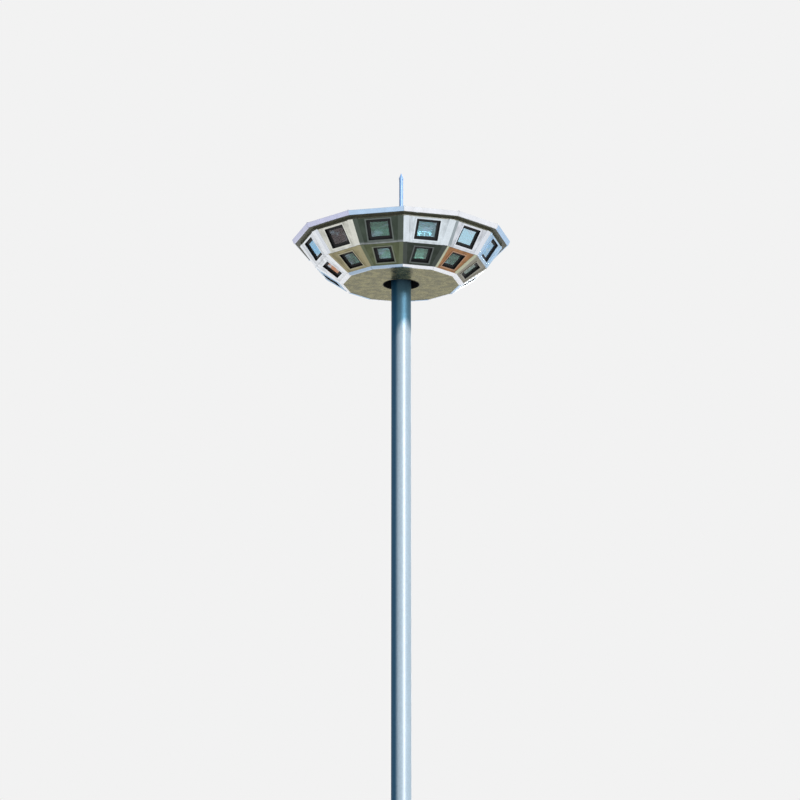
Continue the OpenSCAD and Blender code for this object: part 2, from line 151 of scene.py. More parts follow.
def end_tree(tree, geometry, finish):
    """Closes a tree: real geometry with its material."""
    real = add(tree, "GeometryNodeRealizeInstances", {0: geometry}).outputs[0]
    dressed = add(tree, "GeometryNodeSetMaterial", {"Geometry": real, "Material": finish}).outputs[0]
    add(tree, "NodeGroupOutput", {0: dressed})


def guide(name, lines):
    """A mesh of lines, each a list of points with the way they face and whether the line closes."""
    points, facing, edges = [], [], []
    for line, out, closed in lines:
        first = len(points)
        points += [tuple(p) for p in line]
        facing += [tuple(out)] * len(line)
        edges += [(i, i + 1) for i in range(first, len(points) - 1)]
        if closed:
            edges.append((len(points) - 1, first))
    mesh = bpy.data.meshes.new(name)
    mesh.from_pydata(points, edges, [])
    mesh.attributes.new("facing", "FLOAT_VECTOR", "POINT").data.foreach_set("vector", np.ravel(facing))
    return mesh


def grow(name, lines, tree, body, slot, **sizes):
    """Runs a tree on a guide, keeps the result as a plain mesh and lets it ride on a body."""
    piece = bpy.data.objects.new(name, guide(name, lines))
    scene.collection.objects.link(piece)
    modifier = piece.modifiers.new(name, "NODES")
    modifier.node_group = tree
    for item in tree.interface.items_tree:
        if item.in_out == "INPUT" and item.name in sizes:
            modifier[item.identifier] = sizes[item.name]
    result = bpy.data.meshes.new_from_object(piece.evaluated_get(bpy.context.evaluated_depsgraph_get()))
    piece.modifiers.remove(modifier)
    piece.data = result
    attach(piece, body)


def facing_rotation(tree):
    """The turn that stands a fixing up along the guide's facing."""
    kept = add(tree, "GeometryNodeInputNamedAttribute", {"Name": "facing"}, data_type="FLOAT_VECTOR")
    return add(tree, "FunctionNodeAlignRotationToVector", {"Vector": kept.outputs[0]}, axis="Z").outputs[0]


def stacked(tree, rings):
    """A stack of turned or hexagonal pieces: corners, foot and head radius, height and level of each."""
    parts = []
    for corners, foot, head, tall, level in rings:
        ring = add(tree, "GeometryNodeMeshCone", {0: corners, 3: head, 4: foot, 5: tall}).outputs[0]
        parts.append(add(tree, "GeometryNodeTransform", {0: ring, "Translation": (0, 0, level)}).outputs[0])
    return add(tree, "GeometryNodeJoinGeometry", {0: parts}).outputs[0]


# Washer, nut, lock nut, shank and chamfered end, in shares of the stud's radius
STUD_STACK = [(24, 1.85, 1.85, 0.3, 0), (6, 1.75, 1.75, 1.6, 0.3), (6, 1.75, 1.75, 0.95, 1.95),
              (14, 1, 1, 4.2, 0), (14, 1, 0.75, 0.3, 4.2)]
stud_tree, given = new_tree("nuts_on_studs", Stud="Float", Finish="Material")
stack = stacked(stud_tree, STUD_STACK)
spread = {2: 0.0, 3: math.pi / 3, "Seed": 7}
twist = add(stud_tree, "FunctionNodeRandomValue", spread, data_type="FLOAT").outputs[1]
turned = add(stud_tree, "FunctionNodeAxisAngleToRotation", {0: (0, 0, 1), 1: twist}).outputs[0]
upright = {0: facing_rotation(stud_tree), 1: turned}
stand = add(stud_tree, "FunctionNodeRotateRotation", upright, rotation_space="LOCAL").outputs[0]
placing = {"Points": given["Guide"], "Instance": stack, "Rotation": stand, "Scale": given["Stud"]}
studs = add(stud_tree, "GeometryNodeInstanceOnPoints", placing).outputs[0]
end_tree(stud_tree, studs, given["Finish"])

UP, DOWN, FRONT = (0, 0, 1), (0, 0, -1), (0, -1, 0)
MILLIMETRE = 0.001
stud_r = 16.5 * MILLIMETRE
flange_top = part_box("base_flange")[1].z
pattern = next(m for m in frame["record"]["mounts"] if m["name"] == "anchor_bolts")["dims"]
circle_r = pattern["pcd_mm"] / 2 * MILLIMETRE


def ring(radius, height, count):
    """Points round the mast's axis."""
    turns = [2 * math.pi * i / count for i in range(count)]
    return [(radius * math.cos(a), radius * math.sin(a), height) for a in turns]


fixing_zinc = galvanised("bright_zinc_fixing", "#c3ccd3", "#aeb7bd", crystal_mm=6)
grow("anchor_fixings", [(ring(circle_r, flange_top, pattern["count"]), UP, False)], stud_tree, "mast",
     "galvanised_steel", Stud=stud_r, Finish=fixing_zinc)


# Mast tubes: two lengths of welded steel tube, the lower one swaged at its top to take the upper, joined
# by a girth weld and galvanised. The tall smooth skin looks pale steel-blue, the blue partly a painted
# reflection of the sky. It carries painted shade down its unlit side, and the dish's painted shadow just
# under the dish, whose edge is highest on the side towards the lamps.
# Colours and shares of the dish's painted shadow and of the painted shade on the mast's unlit side
PAINTED_SHADOW_TONE, PAINTED_SHADOW_SHARE, PAINTED_SHADE_ROUGHNESS = "#1b576e", 0.8, 0.6
SIDE_SHADE_TONE, SIDE_SHADE_SHARE = "#1c4b69", 0.95
lamp_side_turn, shaded_side_turn = math.radians(-63), math.radians(-155)
# Metres under the dish where the painted shadow fades out and where it is full, and its edge's rise lampward
shadow_end_drop, shadow_full_drop, shadow_edge_rise = 0.82, 0.6, 0.32
# Cosines of the angles from the unlit side at the edge and at the core of its band of painted shade
side_shade_edge, side_shade_core = 0.64, 0.92
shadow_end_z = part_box("bottom_plate")[0].z - shadow_end_drop - shadow_edge_rise
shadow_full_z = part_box("bottom_plate")[0].z - shadow_full_drop - shadow_edge_rise


def paint_mast_shade(tree, place, tone, rough):
    """Painted shadow under the dish, painted shade on the unlit side: dark, rough, with a dull gleam of
    metal.
    """
    level = add(tree, "ShaderNodeSeparateXYZ", {0: place}).outputs[2]
    flat = add(tree, "ShaderNodeVectorMath", {0: place, 1: (1, 1, 0)}, operation="MULTIPLY").outputs[0]
    out = add(tree, "ShaderNodeVectorMath", {0: flat}, operation="NORMALIZE").outputs[0]
    turned = []
    for turn in (lamp_side_turn, shaded_side_turn):
        way = {0: out, 1: (math.cos(turn), math.sin(turn), 0)}
        turned.append(add(tree, "ShaderNodeVectorMath", way, operation="DOT_PRODUCT").outputs[1])
    # The dish's painted shadow: dark high up, its edge standing higher on the side towards the lamps
    washed = {0: turned[0], 1: -shadow_edge_rise, 2: level}
    shadow_reach = add(tree, "ShaderNodeMath", washed, operation="MULTIPLY_ADD").outputs[0]
    dry = {0: shadow_reach, 1: shadow_end_z, 2: shadow_full_z, 3: 0.0, 4: PAINTED_SHADOW_SHARE}
    high = add(tree, "ShaderNodeMapRange", dry).outputs[0]
    # Painted shade in a band down the mast's unlit side
    streak = {0: turned[1], 1: side_shade_edge, 2: side_shade_core, 3: 0.0, 4: SIDE_SHADE_SHARE}
    side = add(tree, "ShaderNodeMapRange", streak, interpolation_type="SMOOTHSTEP").outputs[0]
    for share, colour in ((high, PAINTED_SHADOW_TONE), (side, SIDE_SHADE_TONE)):
        tone = add(tree, "ShaderNodeMix", {0: share, 6: tone, 7: linear(colour)}, data_type="RGBA").outputs[2]
    cover = add(tree, "ShaderNodeMath", {0: high, 1: side}, operation="MAXIMUM").outputs[0]
    rough = add(tree, "ShaderNodeMix", {0: cover, 2: rough, 3: PAINTED_SHADE_ROUGHNESS}).outputs[0]
    gleam = add(tree, "ShaderNodeMapRange", {0: cover, 1: 0.0, 2: PAINTED_SHADOW_SHARE}).outputs[0]
    return tone, rough, gleam


mast_zinc = galvanised("galvanised_tube", "#a7bccb", "#98adbc", crystal_mm=18, gloss=0.35, shade_painter=paint_mast_shade)
dress(mast_zinc, "lower_section", "upper_section")


# Weld beads: fillets laid by hand round the flange, up the ribs, round the swage, the door frame and the
# head plate. Each bead is a small half-sunk roll with even ripples, under the same zinc.
bead_tree, given = new_tree("bead_along", Bead="Float", Ripple="Float", Wave="Float", Step="Float",
                            Finish="Material")
path = add(bead_tree, "GeometryNodeMeshToCurve", {0: given["Guide"]}).outputs[0]
even = {"Curve": path, "Length": given["Step"]}
path = add(bead_tree, "GeometryNodeResampleCurve", even, mode="LENGTH").outputs[0]
run = add(bead_tree, "GeometryNodeSplineParameter").outputs["Length"]
waves = add(bead_tree, "ShaderNodeMath", {0: run, 1: given["Wave"]}, operation="DIVIDE").outputs[0]
phase = add(bead_tree, "ShaderNodeMath", {0: waves, 1: 2 * math.pi}, operation="MULTIPLY").outputs[0]
swell = add(bead_tree, "ShaderNodeMath", {0: phase}, operation="SINE").outputs[0]
rippled = {0: swell, 1: given["Ripple"], 2: 1.0}
size = add(bead_tree, "ShaderNodeMath", rippled, operation="MULTIPLY_ADD").outputs[0]
round_bar = {"Resolution": 8, "Radius": given["Bead"]}
profile = add(bead_tree, "GeometryNodeCurvePrimitiveCircle", round_bar).outputs[0]
swept = {"Curve": path, "Profile Curve": profile, "Scale": size, "Fill Caps": True}
roll = add(bead_tree, "GeometryNodeCurveToMesh", swept).outputs[0]
smooth = add(bead_tree, "GeometryNodeSetShadeSmooth", {0: roll}).outputs[0]
end_tree(bead_tree, smooth, given["Finish"])


def reach(name):
    """The least and greatest distance of a node's points from the mast's axis."""
    far = [math.hypot(v.co.x, v.co.y) for v in cad[name].data.vertices]
    return min(far), max(far)


lower_r = reach("lower_section")[1]
upper_r = reach("upper_section")[1]
swage_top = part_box("upper_section")[0].z
head_plate_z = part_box("upper_section")[1].z
rib_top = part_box("base_gussets")[1].z
rib_end = reach("base_gussets")[1]
rib_half = 7 * MILLIMETRE
RING_POINTS = 120
beads = [(ring(lower_r, flange_top, RING_POINTS), UP, True),
         (ring(upper_r, swage_top, RING_POINTS), UP, True),
         (ring(upper_r, head_plate_z, RING_POINTS), UP, True)]
for i in range(pattern["count"]):
    turn = Matrix.Rotation(2 * math.pi * (i + 0.5) / pattern["count"], 3, "Z")
    for side in (-rib_half, rib_half):
        inner = turn @ Vector((lower_r, side, flange_top))
        outer = turn @ Vector((rib_end, side, flange_top))
        upper = turn @ Vector((lower_r, side, rib_top))
        beads += [([inner, outer], UP, False), ([inner, upper], UP, False)]

frame_w = 0.042
corner_share = 0.25
CORNER_STEPS = 12


def door_outline(grow_by, radius):
    """Points round the door opening, grown by a margin, on a cylinder about the mast's axis."""
    low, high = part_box("door_frame")
    half_wide = high.x - frame_w
    half_tall = (high.z - low.z) / 2 - frame_w + grow_by
    middle = (high.z + low.z) / 2
    corner = corner_share * 2 * half_wide + grow_by
    points = []
    for quarter, (sx, sz) in enumerate([(1, 1), (-1, 1), (-1, -1), (1, -1)]):
        for i in range(CORNER_STEPS + 1):
            a = math.pi / 2 * (quarter + i / CORNER_STEPS)
            x = sx * (half_wide + grow_by - corner) + corner * math.cos(a)
            z = middle + sz * (half_tall - corner) + corner * math.sin(a)
            points.append((x, -math.sqrt(radius ** 2 - x ** 2), z))
    return points


beads.append((door_outline(frame_w, lower_r + MILLIMETRE), FRONT, True))
grow("weld_beads", beads, bead_tree, "mast", "galvanised_steel", Bead=0.006, Ripple=0.16, Wave=0.011,
     Step=0.0035, Finish=plate_zinc)


# Service door: a curved steel door over the winch room, lapped onto a welded frame that stiffens the cut
# tube. It hangs on two lift-off hinges and has a triangular-key lock; all of it is galvanised.
door_zinc = galvanised("galvanised_door", "#a9bfd3", "#95abc0", crystal_mm=12)
dress(door_zinc, "door_frame", "service_door")
door_low, door_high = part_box("service_door")
door_r = -door_low.y


def turned_piece(profile, place, segments):
    """Vertices and faces of a turned piece, from its radius and level at each step, set in place."""
    points, faces = [], []
    for r, level in profile:
        for i in range(segments):
            a = 2 * math.pi * i / segments
            points.append(place @ Vector((r * math.cos(a), r * math.sin(a), level)))
    for row in range(len(profile) - 1):
        for i in range(segments):
            a, b = row * segments + i, row * segments + (i + 1) % segments
            faces.append((a, b, b + segments, a + segments))
    faces.append(tuple(range(segments - 1, -1, -1)))
    faces.append(tuple(range((len(profile) - 1) * segments, len(profile) * segments)))
    return points, faces


def settle(name, shapes, material, body):
    """One piece from several shapes, each vertices and faces."""
    points, faces = [], []
    for shape_points, shape_faces in shapes:
        faces += [tuple(i + len(points) for i in face) for face in shape_faces]
        points += shape_points
    mesh = bpy.data.meshes.new(name)
    mesh.from_pydata(points, [], faces)
    mesh.materials.append(material)
    piece = bpy.data.objects.new(name, mesh)
    scene.collection.objects.link(piece)
    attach(piece, body)


# Three knuckles on a pin whose two ends show
knuckle_h, knuckle_gap, knuckle_r, pin_r, pin_end = 0.03, 0.002, 0.010, 0.006, 0.004
hinge_profile = [(pin_r - pin_end / 2, -pin_end), (pin_r, -pin_end), (pin_r, 0.0)]
for i in range(3):
    foot = i * (knuckle_h + knuckle_gap)
    hinge_profile += [(knuckle_r, foot), (knuckle_r, foot + knuckle_h), (pin_r, foot + knuckle_h),
                      (pin_r, foot + knuckle_h + knuckle_gap)]
hinge_h = 3 * (knuckle_h + knuckle_gap)
hinge_profile += [(pin_r - pin_end / 2, hinge_h + pin_end)]
hinge_x = door_low.x - pin_r
hinge_y = -math.sqrt(door_r ** 2 - hinge_x ** 2) - pin_end
hinge_turn = math.atan2(hinge_y, hinge_x)
hinge_inset = 0.16
leaf_turn, leaf_half_w, leaf_half_h, leaf_t = 0.09, 0.022, 0.042, 0.004
BOX_FACES = [(0, 1, 3, 2), (4, 6, 7, 5), (0, 4, 5, 1), (2, 3, 7, 6), (0, 2, 6, 4), (1, 5, 7, 3)]
hardware = []
for level in (door_low.z + hinge_inset, door_high.z - hinge_inset - hinge_h):
    hardware.append(turned_piece(hinge_profile, Matrix.Translation((hinge_x, hinge_y, level)), segments=20))
    for side in (-1, 1):
        swung = Matrix.Rotation(hinge_turn + side * leaf_turn, 4, "Z")
        leaf = Matrix.Translation((0, 0, level + hinge_h / 2)) @ swung
        corners = [leaf @ Vector((r, y, z)) for r in (door_r - leaf_t, door_r + leaf_t)
                   for y in (-leaf_half_w, leaf_half_w) for z in (-leaf_half_h, leaf_half_h)]
        hardware.append((corners, BOX_FACES))
lock_turn = math.radians(-90 + 26)
lock_sunk = 0.003
lock_level = Matrix.Translation((0, 0, (door_low.z + door_high.z) / 2))
lock_face = Matrix.Translation((door_r - lock_sunk, 0, 0)) @ Matrix.Rotation(math.pi / 2, 4, "Y")
lock_place = lock_level @ Matrix.Rotation(lock_turn, 4, "Z") @ lock_face
lock_ring = [(0.026, 0), (0.026, 0.006), (0.022, 0.010), (0.013, 0.010), (0.013, 0.004), (0.006, 0.004)]
lock_key = [(0.007, 0.003), (0.007, 0.012), (0.005, 0.014)]
hardware += [turned_piece(lock_ring, lock_place, segments=28), turned_piece(lock_key, lock_place, segments=3)]
settle("door_hinges_and_lock", hardware, fixing_zinc, "mast")


# Head frame and pulleys: plate cheeks and a post welded on the head plate, galvanised, with three cast
# iron rope pulleys on pressed axles. The castings are grey-black and rough, greased in the groove.
def cast_iron(name, tone, worn):
    """Sand-cast iron: dark, grainy and dull, a little brighter where ropes have rubbed."""
    made, tree, shader, place = surface(name, Metallic=0.6)
    patch, base = clouded(tree, place, tone, worn, size_mm=40, detail=2.0)
    rough = add(tree, "ShaderNodeMapRange", {0: patch, 3: 0.7, 4: 0.4}).outputs[0]
    # The sand's grain is drawn a few times coarser than it is, so that it shows
    bump = bumpy(tree, place, size_mm=3, detail=4.0, strength=0.5, depth_mm=0.8)
    feed(tree, shader, {"Base Color": base, "Roughness": rough, "Normal": bump})
    return made


dress(plate_zinc, "head_frame")
dress(cast_iron("cast_iron", "#2c2d30", "#4d4e50"), "pulleys")


# Rain hood: twelve folded gores of galvanised sheet that shed water over the pulleys. A half-round cap is
# soldered along each joint, from the rod's foot down over the skirt.
hood_zinc = galvanised("galvanised_sheet", "#b1c4d4", "#9eb0c0", crystal_mm=10, gloss=0.42)
dress(hood_zinc, "rain_hood")
SIDES = 12
hood_low, hood_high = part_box("rain_hood")
hood_r = reach("rain_hood")[1]
skirt_h = 0.072
hood_cap_share = 0.13


def corner_way(k):
    """The way out to a corner of the dish, or between two corners, from the axis."""
    a = math.radians(-90 + k * 360 / SIDES)
    return Vector((math.cos(a), math.sin(a), 0))


def raised(z):
    """A height as a move."""
    return Vector((0, 0, z))


hood_hips = []
for k in range(SIDES):
    out = corner_way(k)
    hip = [out * hood_r * hood_cap_share + raised(hood_high.z), out * hood_r + raised(hood_low.z + skirt_h),
           out * hood_r + raised(hood_low.z)]
    hood_hips.append((hip, UP, False))
grow("hood_joint_caps", hood_hips, bead_tree, "mast", "galvanised_steel", Bead=0.006, Ripple=0.0, Wave=1.0,
     Step=0.05, Finish=hood_zinc)


# Lightning rod: a drawn steel rod with a pointed tip on a flange foot, bolted through the hood to the
# head's post. It is galvanised smooth; its pale blue is a painted reflection of the sky.
rod_zinc = galvanised("galvanised_rod", "#88b7ee", "#7eaadf", crystal_mm=8)
dress(rod_zinc, "lightning_rod")
rod_foot_t, rod_bolt_r, rod_circle_r = 0.012, 0.005, 0.0455
rod_foot_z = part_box("lightning_rod")[0].z + rod_foot_t
ROD_BOLTS = 6
grow("rod_foot_bolts", [(ring(rod_circle_r, rod_foot_z, ROD_BOLTS), UP, False)], stud_tree, "mast",
     "galvanised_steel", Stud=rod_bolt_r, Finish=fixing_zinc)


# Dish panels: twenty-four flat facets of stainless sheet, polished and screwed over the lamp frames. The
# mirror-like sheet's base colour is a painted reflection of what lies before each facet, so no two
# neighbours look the same.
PAINTED_REFLECTION_TONES = {"pale": "#f6faff", "warm": "#e3e3d9", "silver": "#e6ebf3", "haze": "#e2ecf3", "sky": "#b9dcf9",
         "olive": "#465147", "leaf": "#61694f", "moss": "#3c443d", "straw": "#a29a78", "copper": "#ab7d55",
         "slate": "#84806f", "reed": "#bcbfa4", "dusk": "#8aa3bd", "ash": "#9ca7ac"}
UPPER_ROW = ["pale", "warm", "olive", "haze", "silver", "sky",
             "pale", "olive", "silver", "warm", "moss", "dusk"]
LOWER_ROW = ["pale", "straw", "leaf", "moss", "copper", "slate",
             "haze", "moss", "slate", "straw", "leaf", "sky"]
bend_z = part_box("lower_panel_01")[1].z
# Width of the painted highlight along the bend, and its share of silver
bend_highlight_w, bend_highlight_share = 0.035, 0.4


def round_axis(tree, place):
    """The turn of each point about the mast's axis, and its height."""
    parts = add(tree, "ShaderNodeSeparateXYZ", {0: place}).outputs
    return add(tree, "ShaderNodeMath", {0: parts[1], 1: parts[0]}, operation="ARCTAN2").outputs[0], parts[2]


def by_side(tree, place, tones, upper, lower):
    """A colour for each side of the dish, or each half side, and each row, from -X by way of -Y."""
    turn, height = round_axis(tree, place)
    share = add(tree, "ShaderNodeMapRange", {0: turn, 1: -math.pi, 2: math.pi}).outputs[0]
    colours = []
    for names in (lower, upper):
        ramp = add(tree, "ShaderNodeValToRGB", {0: share})
        stops = ramp.color_ramp.elements
        ramp.color_ramp.interpolation = "CONSTANT"
        stops.remove(stops[1])
        for i, name in enumerate(names):
            stop = stops.new(i / len(names)) if i else stops[0]
            stop.color = linear(tones[name])
        colours.append(ramp.outputs[0])
    above = add(tree, "ShaderNodeMath", {0: height, 1: bend_z}, operation="GREATER_THAN").outputs[0]
    return add(tree, "ShaderNodeMix", {0: above, 6: colours[0], 7: colours[1]}, data_type="RGBA").outputs[2]


def polished(name, upper, lower, lighten, streaks):
    """Polished stainless: a sheen, painted reflections by side, upright streaks and a painted bend highlight.
    """
    made, tree, shader, place = surface(name, Metallic=0.85)
    tone = by_side(tree, place, PAINTED_REFLECTION_TONES, upper, lower)
    height = add(tree, "ShaderNodeSeparateXYZ", {0: place}).outputs[2]
    # A painted highlight on the upper facets just above the bend
    hem = {0: height, 1: bend_z, 2: bend_z + bend_highlight_w, 3: bend_highlight_share, 4: lighten}
    rubbed = add(tree, "ShaderNodeMapRange", hem).outputs[0]
    above = add(tree, "ShaderNodeMath", {0: height, 1: bend_z}, operation="GREATER_THAN").outputs[0]
    share = add(tree, "ShaderNodeMix", {0: above, 2: lighten, 3: rubbed}).outputs[0]
    lit = {0: share, 6: tone, 7: linear(PAINTED_REFLECTION_TONES["silver"])}
    silver = add(tree, "ShaderNodeMix", lit, data_type="RGBA").outputs[2]
    upright = add(tree, "ShaderNodeMapping", {"Vector": place, "Scale": (1, 1, 0.2)}).outputs[0]
    drift = add(tree, "ShaderNodeTexNoise", {"Vector": upright, "Scale": grain(95), "Detail": 2.0}).outputs[0]
    shade = add(tree, "ShaderNodeMapRange", {0: drift, 1: 0.3, 2: 0.7, 3: 1 - streaks, 4: 1.0}).outputs[0]
    base = add(tree, "ShaderNodeMix", {0: 1.0, 6: silver, 7: shade}, data_type="RGBA", blend_type="MULTIPLY")
    # Polishing lines are finer than this: they are drawn coarse enough to show
    level = add(tree, "ShaderNodeMapping", {"Vector": place, "Scale": (0.02, 0.02, 1)}).outputs[0]
    lines = add(tree, "ShaderNodeTexNoise", {"Vector": level, "Scale": grain(1.5), "Detail": 2.0}).outputs[0]
    rough = add(tree, "ShaderNodeMapRange", {0: lines, 3: 0.14, 4: 0.3}).outputs[0]
    bump = bumpy(tree, place, size_mm=240, detail=1.0, strength=0.3, depth_mm=6)
    feed(tree, shader, {"Base Color": base.outputs[2], "Roughness": rough, "Normal": bump})
    return made


panel_steel = polished("polished_stainless_sheet", UPPER_ROW, LOWER_ROW, lighten=0.0, streaks=0.36)
dress(panel_steel, *[name for name in cad if "_panel_" in name])


# Corner strips: narrow stainless strips bent along each edge of the dish to cover the joints, fixed by a
# row of dome rivets on each leg. They are the panels' own sheet, a little brighter.
Facet = namedtuple("Facet", "place low high slant window mid")
EDGE_SLACK = 0.002


def facet(node):
    """A panel's own place at the middle of its foot, with its sizes and its window's, from its solid."""
    points = np.array([v.co for v in node.data.vertices])
    middle = points.mean(0)
    turn = math.atan2(middle[1], middle[0])
    along = np.array([-math.sin(turn), math.cos(turn), 0])
    radial = np.array([math.cos(turn), math.sin(turn), 0])
    side = np.stack([points @ radial, points[:, 2]], 1)
    rise = np.linalg.svd(side - side.mean(0))[2][0]
    rise = rise * math.copysign(1, rise[1])
    up = rise[0] * radial + rise[1] * np.array(UP)
    axes = np.stack([along, up, np.cross(along, up)], 1)
    local = points @ axes
    foot, face = local[:, 1].min(), local[:, 2].max()
    slant = local[:, 1].max() - foot
    place = Matrix.Translation(axes @ np.array([0, foot, face])) @ Matrix(axes.tolist()).to_4x4()
    across, height = np.abs(local[:, 0]), local[:, 1] - foot
    hole = (height > EDGE_SLACK) & (height < slant - EDGE_SLACK)
    sill, lintel = height[hole].min(), height[hole].max()
    low = 2 * across[height < EDGE_SLACK].max()
    high = 2 * across[height > slant - EDGE_SLACK].max()
    return Facet(place, low, high, slant, (2 * across[hole].max(), lintel - sill), (lintel + sill) / 2)


uppers = [facet(cad["upper_panel_%02d" % (k + 1)]) for k in range(SIDES)]
lowers = [facet(cad["lower_panel_%02d" % (k + 1)]) for k in range(SIDES)]


def on_facet(spot, points):
    """Points of a facet in the frame of the whole object."""
    return [spot.place @ Vector(p) for p in points]


def outward(spot):
    """The way a facet faces."""
    return spot.place.to_3x3() @ Vector(UP)


# Rim and crown of a dome head, in shares of its radius
RIVET_STACK = [(10, 1, 0.84, 0.3, 0), (10, 0.84, 0.4, 0.2, 0.3)]
rivet_tree, given = new_tree("rivet_rows", Head="Float", Pitch="Float", Finish="Material")
rows = add(rivet_tree, "GeometryNodeMeshToCurve", {0: given["Guide"]}).outputs[0]
paced = {"Curve": rows, "Length": given["Pitch"]}
rows = add(rivet_tree, "GeometryNodeResampleCurve", paced, mode="LENGTH").outputs[0]
spots = add(rivet_tree, "GeometryNodeCurveToPoints", {0: rows}, mode="EVALUATED").outputs[0]
dome = stacked(rivet_tree, RIVET_STACK)
placing = {"Points": spots, "Instance": dome, "Rotation": facing_rotation(rivet_tree), "Scale": given["Head"]}
heads = add(rivet_tree, "GeometryNodeInstanceOnPoints", placing).outputs[0]
end_tree(rivet_tree, heads, given["Finish"])

# Two legs a side, each in the painted reflection tone of its panel or of what it turns to
UPPER_STRIPS = [tone for tone in UPPER_ROW for leg in range(2)]
UPPER_STRIPS[2:4] = ["silver", "warm"]
UPPER_STRIPS[8] = "ash"
LOWER_STRIPS = [tone for tone in LOWER_ROW for leg in range(2)]
LOWER_STRIPS[8:10] = ["reed", "reed"]
strip_steel = polished("polished_stainless_strip", UPPER_STRIPS, LOWER_STRIPS, lighten=0.03,
                       streaks=0.1)
dress(strip_steel, "corner_strips")
upper_leg, lower_leg, strip_t, end_margin = 0.090, 0.0655, 0.0031, 0.028
rivet_line_share = 0.62
strip_rows = []
for spots, leg in ((uppers, upper_leg), (lowers, lower_leg)):
    for spot in spots:
        for side in (-1, 1):
            foot = side * (spot.low / 2 - leg * rivet_line_share)
            head = side * (spot.high / 2 - leg * rivet_line_share)
            line = [(foot, end_margin, strip_t), (head, spot.slant - end_margin, strip_t)]
            strip_rows.append((on_facet(spot, line), outward(spot), False))
grow("strip_rivets", strip_rows, rivet_tree, "lamp_head", "stainless_trim", Head=0.0055, Pitch=0.062,
     Finish=strip_steel)


# Eave fascia and bottom band: folded strips of bright stainless that close the dish's rim and foot. Their
# near-white base colour is a painted reflection of the sky, with a blue or lavender cast of painted shade
# on the sides away from it.
EDGE_REFLECTION_TONES = {"white": "#f3f6fc", "mist": "#bcd7f4", "lavender": "#d3d6f2", "blue": "#b4d6f8",
              "steel": "#a9bed4"}
RIM_EDGE = ["lavender", "lavender", "mist", "white", "white", "blue",
            "mist", "white", "lavender", "white", "mist", "white"]
FOOT_EDGE = ["white", "steel", "steel", "white", "white", "white",
             "mist", "white", "mist", "white", "mist", "white"]


def bright_edge(name):
    """Bright stainless edge: cool and glossy, in painted reflection tones by side, with faint upright water
    marks.
    """
    made, tree, shader, place = surface(name, Metallic=0.9)
    tone = by_side(tree, place, EDGE_REFLECTION_TONES, RIM_EDGE, FOOT_EDGE)
    upright = add(tree, "ShaderNodeMapping", {"Vector": place, "Scale": (1, 1, 0.25)}).outputs[0]
    marks = {"Vector": upright, "Scale": grain(110), "Detail": 2.0}
    drips = add(tree, "ShaderNodeTexNoise", marks).outputs[0]
    shade = add(tree, "ShaderNodeMapRange", {0: drips, 1: 0.3, 2: 0.7, 3: 0.9, 4: 1.0}).outputs[0]
    base = add(tree, "ShaderNodeMix", {0: 1.0, 6: tone, 7: shade}, data_type="RGBA", blend_type="MULTIPLY")
    rough = add(tree, "ShaderNodeMapRange", {0: drips, 3: 0.2, 4: 0.32}).outputs[0]
    feed(tree, shader, {"Base Color": base.outputs[2], "Roughness": rough})
    return made


dress(bright_edge("bright_stainless_edge"), "eave_fascia", "bottom_band")


# Eave soffit: a folded strip that closes the throat between panels and fascia, enamelled olive-brown, its
# darkness painted shade under the eave. It never sees rain, so dust stays on it and the colour is dull and
# uneven.
def enamel(name, tone, mark, gloss, mark_mm):
    """Stove enamel: an even satin skin with a fine orange peel and faint upright water marks."""
    made, tree, shader, place = surface(name, Coat_Weight=0.2, Coat_Roughness=0.2)
    upright = add(tree, "ShaderNodeMapping", {"Vector": place, "Scale": (1, 1, 0.25)}).outputs[0]
    marks = {"Vector": upright, "Scale": grain(mark_mm), "Detail": 3.0}
    drips = add(tree, "ShaderNodeTexNoise", marks).outputs[0]
    amount = add(tree, "ShaderNodeMapRange", {0: drips, 1: 0.35, 2: 0.75}).outputs[0]
    blended = {0: amount, 6: linear(tone), 7: linear(mark)}
    base = add(tree, "ShaderNodeMix", blended, data_type="RGBA").outputs[2]
    rough = add(tree, "ShaderNodeMapRange", {0: drips, 3: gloss, 4: gloss + 0.12}).outputs[0]
    bump = bumpy(tree, place, size_mm=5, detail=1.0, strength=0.08, depth_mm=0.5)
    feed(tree, shader, {"Base Color": base, "Roughness": rough, "Normal": bump})
    return made


# Dark as painted shade under the eave
dress(enamel("stove_enamel_painted_shade", "#737763", "#827f69", gloss=0.55, mark_mm=35), "eave_soffit")


# Roof sheets: twelve stainless sheets with a low fall to the eave, joined under half-round caps and
# riveted to the fascia's top lip. Rain has left the polish greyer than on the panels, in runs to the eave.
def weathered(name, tone, dull, dirt):
    """Weathered stainless: a soft grey sheen with cloudy patches and thin dirt runs down the fall."""
    made, tree, shader, place = surface(name, Metallic=0.45, Specular_IOR_Level=0.2)
    cloud, sheet = clouded(tree, place, tone, dull, size_mm=420, detail=4.0)
    turn = round_axis(tree, place)[0]
    out = add(tree, "ShaderNodeVectorMath", {0: place}, operation="LENGTH").outputs["Value"]
    slow = add(tree, "ShaderNodeMath", {0: out, 1: 0.08}, operation="MULTIPLY").outputs[0]
    fall = add(tree, "ShaderNodeCombineXYZ", {0: turn, 1: slow}).outputs[0]
    runs = add(tree, "ShaderNodeTexNoise", {"Vector": fall, "Scale": grain(35), "Detail": 3.0}).outputs[0]
    amount = add(tree, "ShaderNodeMapRange", {0: runs, 1: 0.5, 2: 0.75, 3: 0.0, 4: 0.4}).outputs[0]
    base = add(tree, "ShaderNodeMix", {0: amount, 6: sheet, 7: linear(dirt)}, data_type="RGBA").outputs[2]
    rough = add(tree, "ShaderNodeMapRange", {0: cloud, 3: 0.7, 4: 0.82}).outputs[0]
    feed(tree, shader, {"Base Color": base, "Roughness": rough})
    return made


